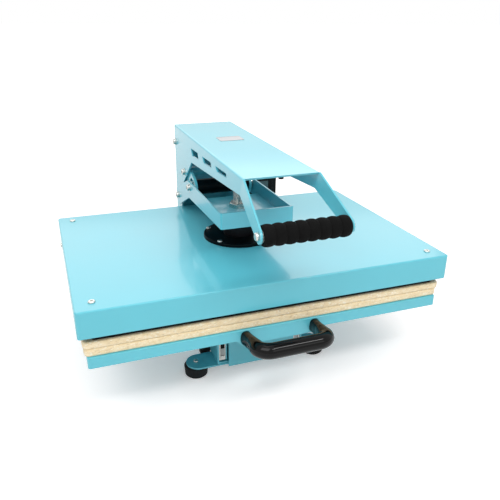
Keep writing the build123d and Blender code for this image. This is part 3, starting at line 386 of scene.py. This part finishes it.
felt, foam, wool = felt_paint(), foam_paint(), wool_paint()


# %% [markdown]
# Each node of the CAD model belongs to a slot, which says what it is made of. The finish could be
# chosen node by node. A table from slot to finish keeps all the fasteners, for one, exactly alike.

# %% Every CAD node takes the finish of its slot
FINISHES = {
    "turquoise_coat": turquoise,
    "black_coat": black_coat,
    "zinc_steel": zinc,
    "dark_steel": dark_steel,
    "bare_aluminium": aluminium,
    "coated_aluminium": coated_aluminium,
    "beige_felt": felt,
    "glass_wool": wool,
    "black_foam": foam,
    "black_rubber": rubber,
    "black_gloss": gloss_black,
    "black_plastic": matte_black,
    "grey_plastic": grey_plastic,
    "lcd_window": lcd,
}
slot_of = {row["node"]: row["material_slot"] for row in frame["record"]["subparts"]}
for name, thing in nodes.items():
    thing.data.materials.clear()
    thing.data.materials.append(FINISHES[slot_of[name]])
print("painted", len(slot_of), "nodes with", len(FINISHES), "finishes")


# %% [markdown]
# New pieces are skins over a grid of points. A grid is a stack of rings: rows go along the piece and
# columns go round it. So every shape below is a formula for the point at (row, column), worked out
# for all at once. Modelling tools could push and pull a box into the same shapes, but a formula can
# be read, checked and changed by a number.

# %% Skins over grids
def skin(name, grid, slot, body, smooth=True):
    """A closed piece from a grid, rows by columns by 3: quads between rings, and a fan in each end."""
    rows, columns = grid.shape[:2]
    index = np.arange(rows * columns).reshape(rows, columns)
    index = np.concatenate([index, index[:, :1]], axis=1)
    quads = np.stack([index[:-1, :-1], index[:-1, 1:], index[1:, 1:], index[1:, :-1]], axis=-1)
    faces = quads.reshape(-1, 4).tolist()
    points = grid.reshape(-1, 3)
    first, last = len(points), len(points) + 1
    points = np.concatenate([points, [grid[0].mean(axis=0), grid[-1].mean(axis=0)]])
    start, end = index[0], index[-1]
    faces += np.column_stack([np.full(columns, first), start[1:], start[:-1]]).tolist()
    faces += np.column_stack([np.full(columns, last), end[:-1], end[1:]]).tolist()
    mesh = bpy.data.meshes.new(name)
    mesh.from_pydata(points.tolist(), [], faces)
    mesh.validate()
    mesh.update()
    if outward_volume(mesh) < 0:
        mesh.flip_normals()
    if smooth:
        mesh.polygons.foreach_set("use_smooth", np.ones(len(mesh.polygons), bool))
    thing = add_to_scene(name, mesh)
    thing.data.materials.append(FINISHES[slot])
    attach(thing, body)
    print(name, len(mesh.vertices), "points,", len(mesh.polygons), "faces, rides on", body)
    return thing


def outward_volume(mesh):
    """Six times the signed volume of a closed mesh: positive if its faces point outwards."""
    mesh.calc_loop_triangles()
    corners = np.empty(len(mesh.loop_triangles) * 3, np.int32)
    mesh.loop_triangles.foreach_get("vertices", corners)
    places = np.empty(len(mesh.vertices) * 3)
    mesh.vertices.foreach_get("co", places)
    a, b, c = places.reshape(-1, 3)[corners].reshape(-1, 3, 3).transpose(1, 0, 2)
    return float(np.einsum("ij,ij->i", a, np.cross(b, c)).sum())


def round_angles(count):
    """Evenly spaced angles round a full turn, without the last one, which is the first again."""
    return np.linspace(0, 2 * np.pi, count, endpoint=False)


def middle_of(node):
    """The middle and the size of a CAD node's box."""
    low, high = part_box(node)
    return np.array((low + high) / 2), np.array(high - low)


def sway(t, seed, waves, lowest):
    """A smooth random curve round a loop, t from 0 to 1: sines of rising frequency from the lowest."""
    rng = np.random.default_rng(seed)
    turns = np.arange(lowest, lowest + waves)
    size = rng.normal(size=waves) / turns**0.5
    phase = rng.uniform(0, 2 * np.pi, waves)
    return (size * np.sin(2 * np.pi * turns * t[..., None] + phase)).sum(axis=-1)


# %% [markdown]
# The pad is two sheets of felt. Felt is cut with a knife, so its edge is upright but fuzzy, and its
# corners are a little crushed. The edge is a stack of rings: each ring is the pad's outline, pulled
# in where it nears the top or the underside, and swayed by a fraction of a millimetre. A cloth
# simulation would do nothing for slabs this stiff, and a plain box would have a knife-sharp arris.

# %% Felt pads
FELT_CORNER = 0.009
FELT_POINTS = 1500
FELT_LAYERS = 13
FELT_CRUSH = 0.0022
FELT_MARGIN = 0.0006
FELT_SEEDS = {"lower_felt": 3, "upper_felt": 11}


def outline_of(half, corner, count):
    """Points round a rectangle with round corners, evenly spaced, and their outward directions.

    On an arc the point is the corner's centre plus the radius times the direction. On a straight
    side it is the side's end, moved back by what is left of its length.
    """
    straight = 2 * (half - corner)
    lengths = np.array([straight[0], np.pi * corner / 2, straight[1], np.pi * corner / 2] * 2)
    at = np.linspace(0, lengths.sum(), count, endpoint=False)
    starts = np.concatenate([[0], np.cumsum(lengths)[:-1]])
    piece = np.searchsorted(starts, at, side="right") - 1
    along = at - starts[piece]
    quarter = piece // 2
    bend = np.where(piece % 2 == 1, along / corner, 0.0)
    angle = -np.pi / 2 + quarter * np.pi / 2 + bend
    centre_x = np.where((quarter == 0) | (quarter == 1), 1, -1) * (half[0] - corner)
    centre_y = np.where((quarter == 1) | (quarter == 2), 1, -1) * (half[1] - corner)
    way = np.stack([np.cos(angle), np.sin(angle)], axis=-1)
    points = np.stack([centre_x, centre_y], axis=-1) + way * corner
    line = piece % 2 == 0
    back = (lengths[piece] - along)[:, None]
    tangent = np.stack([-np.sin(angle), np.cos(angle)], axis=-1)
    points = np.where(line[:, None], points - tangent * back, points)
    return points, way


def felt_sheet(name, seed):
    """The swaying rings of the edge, between rings that shrink towards the middle of both faces."""
    centre, size = middle_of(name)
    tall = size[2]
    outline, way = outline_of(size[:2] / 2, FELT_CORNER, FELT_POINTS)
    t = np.arange(FELT_POINTS) / FELT_POINTS
    # Heights from -1 to 1, closer together near the faces, where the arris is pulled in.
    lift = -np.cos(np.pi * np.linspace(0, 1, FELT_LAYERS))
    pull = FELT_CRUSH * np.abs(lift) ** 6
    edge = []
    for row, (up, inwards) in enumerate(zip(lift, pull)):
        # Layers, long swells shared by all rings, and fibres.
        wave = sway(t, seed + row, 60, 20) * 0.00007 + sway(t, seed, 14, 3) * 0.00012
        wave += sway(t, seed + 50 + row, 90, 160) * 0.00006
        ring = outline - way * (inwards + FELT_MARGIN - wave)[:, None]
        droop = sway(t, seed + 90, 12, 4) * 0.00012 * (1 - abs(up))
        edge.append(np.column_stack([ring, np.full(FELT_POINTS, up * tall / 2) + droop]))
    edge = np.array(edge)
    shrink = np.array([0.985, 0.9, 0.6, 0.3, 0.05])[:, None, None]
    top = edge[-1] * np.array([1, 1, 0]) * shrink + np.array([0, 0, tall / 2])
    low = edge[0] * np.array([1, 1, 0]) * shrink[::-1] - np.array([0, 0, tall / 2])
    grid = np.concatenate([low, edge, top]) + centre
    sheet = skin(name + "_sheet", grid, "beige_felt", "drawer")
    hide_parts(name)


for name, seed in FELT_SEEDS.items():
    felt_sheet(name, seed)


# %% [markdown]
# The foam grip is a tube pinched into round bulges. Its radius along the bar is a row of soft
# bumps: the groove's radius plus the bulge's height times a rounded sine. Eight scaled spheres
# could be joined instead, but they would leave a crease in each groove that needs smoothing.

# %% Foam grip
GRIP_BULGES = 8
GRIP_ROWS = GRIP_BULGES * 22 + 1
GRIP_GROOVE = 0.01375
GRIP_BORE, GRIP_LIP = 0.0102, 0.0128


def foam_grip():
    """Rings along X. The two outermost at each end close it down to the bore of the bar inside."""
    centre, size = middle_of("foam_grip")
    along = np.linspace(-1, 1, GRIP_ROWS)
    phase = (along + 1) / 2 * GRIP_BULGES
    crest = np.abs(np.sin(np.pi * phase)) ** 0.62
    full = size[2] / 2 - 0.0001
    radius = GRIP_GROOVE + (full - GRIP_GROOVE) * crest
    radius = np.concatenate([[GRIP_BORE, GRIP_LIP], radius[1:-1], [GRIP_LIP, GRIP_BORE]])
    where = np.concatenate([[-1, -1], along[1:-1], [1, 1]]) * size[0] / 2
    angle = round_angles(96)
    # Hands have pressed it very slightly out of round.
    squeeze = 1 + 0.006 * np.sin(2 * angle + 1.1)[None, :]
    ring = radius[:, None] * squeeze
    across = np.broadcast_to(where[:, None], ring.shape)
    grid = np.stack([across, ring * np.cos(angle), ring * np.sin(angle)], axis=-1) + centre
    grip = skin("foam_grip_bulges", grid, "black_foam", "lever")
    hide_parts("foam_grip")


foam_grip()


# %% [markdown]
# The pull handle is one moulding: a round bar, bent through two round corners, whose legs flatten
# into tall oval feet on the front of the tray. The whole bow tilts up a little. A path gives the
# middle line, and a profile that changes along it gives the skin. A curve with a bevel would be
# quicker, but it keeps one profile from end to end. A hair-thin ridge on both sides marks where the
# two halves of the mould met.

# %% Pull handle
HANDLE_BAR = 0.013
HANDLE_FOOT = 0.0127
HANDLE_CORNER = 0.020
HANDLE_SPLAY = 0.003
HANDLE_SHIFT = 0.002


def bent_path(half, reach, corner, count):
    """Middle line of the bow: leg, quarter circle, bar, quarter circle, leg, at even distances.

    With it come its direction, the distance from each point to the nearer foot, and the leg's length.
    """
    leg, bar = reach - corner, 2 * (half - corner)
    turn = np.pi * corner / 2
    at = np.linspace(0, 2 * leg + bar + 2 * turn, count)
    total = at[-1]
    near = np.minimum(at, total - at)
    side = np.where(at < total / 2, -1.0, 1.0)
    bend = np.clip((near - leg) / corner, 0, np.pi / 2)
    over = np.clip(near - leg - turn, 0, None)
    x = side * (half - corner + corner * np.cos(bend) - over)
    y = -(np.minimum(near, leg) + corner * np.sin(bend))
    way = np.stack([-side * np.sin(bend), -np.cos(bend), 0 * at], axis=-1)
    way = way * np.where(side < 0, 1, -1)[:, None]
    return np.stack([x, y, 0 * at], axis=-1), way, near, leg


def pull_handle():
    """Rings along the tilted bow. The legs' ovals are boxier: |cos| and |sin| to a power below one."""
    low, high = (np.array(v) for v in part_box("pull_handle"))
    half = (high[0] - low[0]) / 2 - HANDLE_BAR
    flat_reach = high[1] - low[1] - HANDLE_BAR
    climb = high[2] - HANDLE_BAR - low[2] - HANDLE_FOOT
    reach = float(np.hypot(flat_reach, climb))
    away = np.array([0.0, -flat_reach, climb]) / reach
    upward = np.array([0.0, climb, flat_reach]) / reach
    path, way, near, leg = bent_path(half, reach, HANDLE_CORNER, 240)
    # Half widths of the section at some distances from the foot: across the leg, and up it.
    stops = np.array([0.0, 0.003, 0.010, leg * 0.5, leg * 0.8, leg, 1.0])
    widths = [0.0090, 0.0088, 0.0083, 0.0084, 0.0108, HANDLE_BAR, HANDLE_BAR]
    heights = [HANDLE_FOOT, HANDLE_FOOT, 0.0125, 0.0125, 0.0128, HANDLE_BAR, HANDLE_BAR]
    flat_wise = np.interp(near, stops, widths)[:, None]
    up_wise = np.interp(near, stops, heights)[:, None]
    power = np.interp(near, [0.0, leg * 0.6, leg], [0.74, 0.80, 1.0])[:, None]
    angle = round_angles(96)[None, :]
    c = np.sign(np.cos(angle)) * np.abs(np.cos(angle)) ** power
    s = np.sign(np.sin(angle)) * np.abs(np.sin(angle)) ** power
    seam = 0.00014 * np.exp(-((np.sin(angle) / 0.05) ** 2)) * np.sign(np.cos(angle))
    sideways = np.cross(way, [0.0, 0.0, 1.0])
    across = sideways[:, None] * (flat_wise * c + seam)[..., None]
    lift = up_wise * s
    # The tilt would leave the feet askew to the tray, so the first 15 mm are sheared flush with it.
    flush = np.clip(1 - near / 0.015, 0, 1)[:, None] * lift * upward[1] / -away[1]
    splay = HANDLE_SPLAY * np.sign(path[:, 0]) * np.clip(1 - near / leg, 0, 1) + HANDLE_SHIFT
    x = path[:, None, 0] + across[..., 0] + splay[:, None]
    far = -(path[:, None, 1] + across[..., 1]) + flush
    grid = far[..., None] * away + lift[..., None] * upward
    grid[..., 0] = x
    grid = grid + np.array([0.0, high[1] - 0.0002, low[2] + HANDLE_FOOT])
    handle = skin("pull_handle_bow", grid, "black_gloss", "drawer")
    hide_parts("pull_handle")


pull_handle()


# %% [markdown]
# The pressure spindle has a real thread. Its skin is a tube whose radius depends on height minus
# angle: that makes a ridge which climbs one pitch in each turn. The Screw modifier could wind a
# profile, but its ends would stay open. A hexagon socket is sunk in the top.

# %% Threaded spindle
SPINDLE_RADIUS = 0.00995
THREAD_PITCH = 0.0025
THREAD_DEPTH = 0.0011
SOCKET_HALF = 0.005
SOCKET_DEPTH = 0.009


def spindle():
    """Rings up the thread, then four more: the chamfer, the top face, and the socket's rim and floor."""
    low, high = (np.array(v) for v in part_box("pressure_spindle"))
    centre = (low + high) / 2
    columns, chamfer = 72, 0.0015
    top = high[2] - chamfer
    heights = np.linspace(low[2], top, int((top - low[2]) / THREAD_PITCH * 14))
    angle = round_angles(columns)
    phase = (heights[:, None] / THREAD_PITCH - angle[None, :] / (2 * np.pi)) % 1.0
    ridge = np.clip(np.abs(phase - 0.5) * 4 - 0.5, 0, 1)
    fade = np.clip((heights - low[2]) / 0.002, 0, 1)[:, None]
    radius = SPINDLE_RADIUS - THREAD_DEPTH * (1 - ridge) - 0.0008 * (1 - fade)
    ring = np.stack([radius * np.cos(angle), radius * np.sin(angle)], axis=-1)
    tall = np.broadcast_to(heights[:, None, None], ring.shape[:2] + (1,))
    stem = np.concatenate([ring, tall], axis=-1)
    hexagon = SOCKET_HALF / np.cos((angle + np.pi / 6) % (np.pi / 3) - np.pi / 6)
    rims = [
        (0.0086 + 0 * angle, high[2]), (0.0064 + 0 * angle, high[2]),
        (hexagon, high[2] - 0.0006), (hexagon, high[2] - SOCKET_DEPTH),
    ]
    crown = [
        np.stack([r * np.cos(angle), r * np.sin(angle), np.full(columns, z)], axis=-1) for r, z in rims
    ]
    grid = np.concatenate([stem, np.array(crown)]) + np.array([centre[0], centre[1], 0.0])
    thread = skin("spindle_thread", grid, "zinc_steel", "spindle", smooth=False)
    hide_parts("pressure_spindle")


spindle()


# %% [markdown]
# A small bare plate of satin metal is fixed to the top of the lever, near the post. A thin box would
# do from afar. Rings that step in from the outline also give it the raised rim of pressed metal.

# %% Bare plate
# Two points of the lever's sloping top, as (Y, Z) in millimetres.
LEVER_TOP_REAR, LEVER_TOP_FRONT = (237.0, 394.0), (-195.2, 389.3)
PLATE_HALF = np.array([0.0235, 0.0165])
PLATE_MIDDLE = np.array([0.005, 0.069])


def plate_on_lever():
    """Pressed metal: a raised rim round a sunk blank field."""
    rear, front = LEVER_TOP_REAR, LEVER_TOP_FRONT
    slope = (front[1] - rear[1]) / (front[0] - rear[0])
    outline = outline_of(PLATE_HALF, 0.003, 160)[0]
    # Share of the outline and height above the lever, ring by ring from the outside in.
    steps = (
        (1.0, 0.0), (1.0, 0.0007), (0.985, 0.0009), (0.92, 0.0009),
        (0.9, 0.0005), (0.6, 0.0005), (0.2, 0.0005),
    )
    rows = [np.column_stack([outline * share, np.full(len(outline), lift)]) for share, lift in steps]
    grid = np.array(rows)
    grid[..., :2] += PLATE_MIDDLE
    grid[..., 2] += (rear[1] + slope * (grid[..., 1] * 1000 - rear[0])) / 1000 - 0.0001
    skin("lever_plate", grid, "bare_aluminium", "lever", smooth=False)


plate_on_lever()


# %% [markdown]
# The press stands on a white studio floor that runs on into a white world. Only rays that end in
# the camera, or in a mirror-like surface, see the extra white, so it adds no light to the press. A
# plain white world alone would leave a grey horizon, because a lit floor is never quite as bright.
# A narrow lamp draws the thin highlights on the black parts, a broad one from the left is the key,
# and a wide one behind whitens the tops, which mirror it towards the camera. The other two are weak
# and only soften the shadows.

# %% Floor, world and lamps
LAMP_AIM = Vector((0.0, 0.0, 0.2))
FLOOR_HALF = 30.0


def floor():
    """A matt white square with a glow that grows with distance, so that its far edge isn't seen."""
    mesh = bpy.data.meshes.new("floor")
    corners = [(x * FLOOR_HALF, y * FLOOR_HALF, 0) for x, y in ((-1, -1), (1, -1), (1, 1), (-1, 1))]
    mesh.from_pydata(corners, [], [(0, 1, 2, 3)])
    thing = add_to_scene("floor", mesh)
    paint = Paint("studio_floor")
    camera_ray = paint.node("ShaderNodeLightPath", out="Is Camera Ray")
    glossy_ray = paint.node("ShaderNodeLightPath", out="Is Glossy Ray")
    seen = paint.node("ShaderNodeMath", {"operation": "MAXIMUM"}, {0: camera_ray, 1: glossy_ray})
    distance = paint.node("ShaderNodeVectorMath", {"operation": "LENGTH"}, {0: paint.place}, "Value")
    span = {"Value": distance, "From Min": 0.9, "From Max": 2.2, "To Min": 0.3, "To Max": 0.8}
    far = paint.node("ShaderNodeMapRange", {}, span, "Result")
    glow = paint.node("ShaderNodeEmission", {}, {"Color": (1.0, 1.0, 1.0), "Strength": seen * far})
    # The press sees a floor of a neutral grey, and the camera one that is warmer and lighter.
    tone = paint.mix(camera_ray, (0.84, 0.84, 0.84), (1.0, 0.955, 0.945))
    lit = paint.done(base_color=tone, roughness=0.9, specular_ior_level=0.0)
    both = paint.node("ShaderNodeAddShader", {}, {0: glow, 1: Sock(paint, paint.shader.outputs[0])})
    paint.tree.links.new(both.socket, paint.tree.nodes["Material Output"].inputs["Surface"])
    thing.data.materials.append(lit)


def world():
    """White: half as strong in the light it gives as where the camera or a mirror sees it."""
    made = bpy.data.worlds.new("studio")
    bpy.context.scene.world = made
    made.use_nodes = True
    tree = made.node_tree
    back = tree.nodes["Background"]
    rays = tree.nodes.new("ShaderNodeLightPath")
    seen = rays.outputs["Is Camera Ray"]
    for ray in ("Is Glossy Ray", "Is Transmission Ray"):
        more = tree.nodes.new("ShaderNodeMath")
        more.operation = "MAXIMUM"
        tree.links.new(seen, more.inputs[0])
        tree.links.new(rays.outputs[ray], more.inputs[1])
        seen = more.outputs[0]
    level = tree.nodes.new("ShaderNodeMapRange")
    level.inputs["To Min"].default_value = 0.5
    level.inputs["To Max"].default_value = 1.0
    tree.links.new(seen, level.inputs["Value"])
    tree.links.new(level.outputs["Result"], back.inputs["Strength"])
    back.inputs["Color"].default_value = (1.0, 1.0, 1.0, 1.0)


def lamp(name, place, size, watts):
    """A white rectangle of light that faces the press."""
    data = bpy.data.lights.new(name, "AREA")
    data.shape = "RECTANGLE"
    data.size, data.size_y = size
    data.energy = watts
    thing = add_to_scene(name, data)
    thing.location = place
    thing.rotation_mode = "QUATERNION"
    thing.rotation_quaternion = (Vector(place) - LAMP_AIM).to_track_quat("Z", "Y")


floor()
world()
lamp("strip", (0.45, -1.15, 1.55), (1.1, 0.16), 9.5)
lamp("key", (-1.2, -1.0, 1.8), (1.6, 1.2), 20.0)
lamp("front", (0.5, -1.9, 1.0), (1.2, 0.5), 2.5)
lamp("top", (-0.1, 0.0, 2.4), (1.6, 1.2), 8.0)
lamp("rear", (0.6, 2.5, 1.78), (3.6, 1.3), 17.0)

bpy.context.scene.view_settings.view_transform = "Standard"
print("stage", len(bpy.data.lights), "lamps")
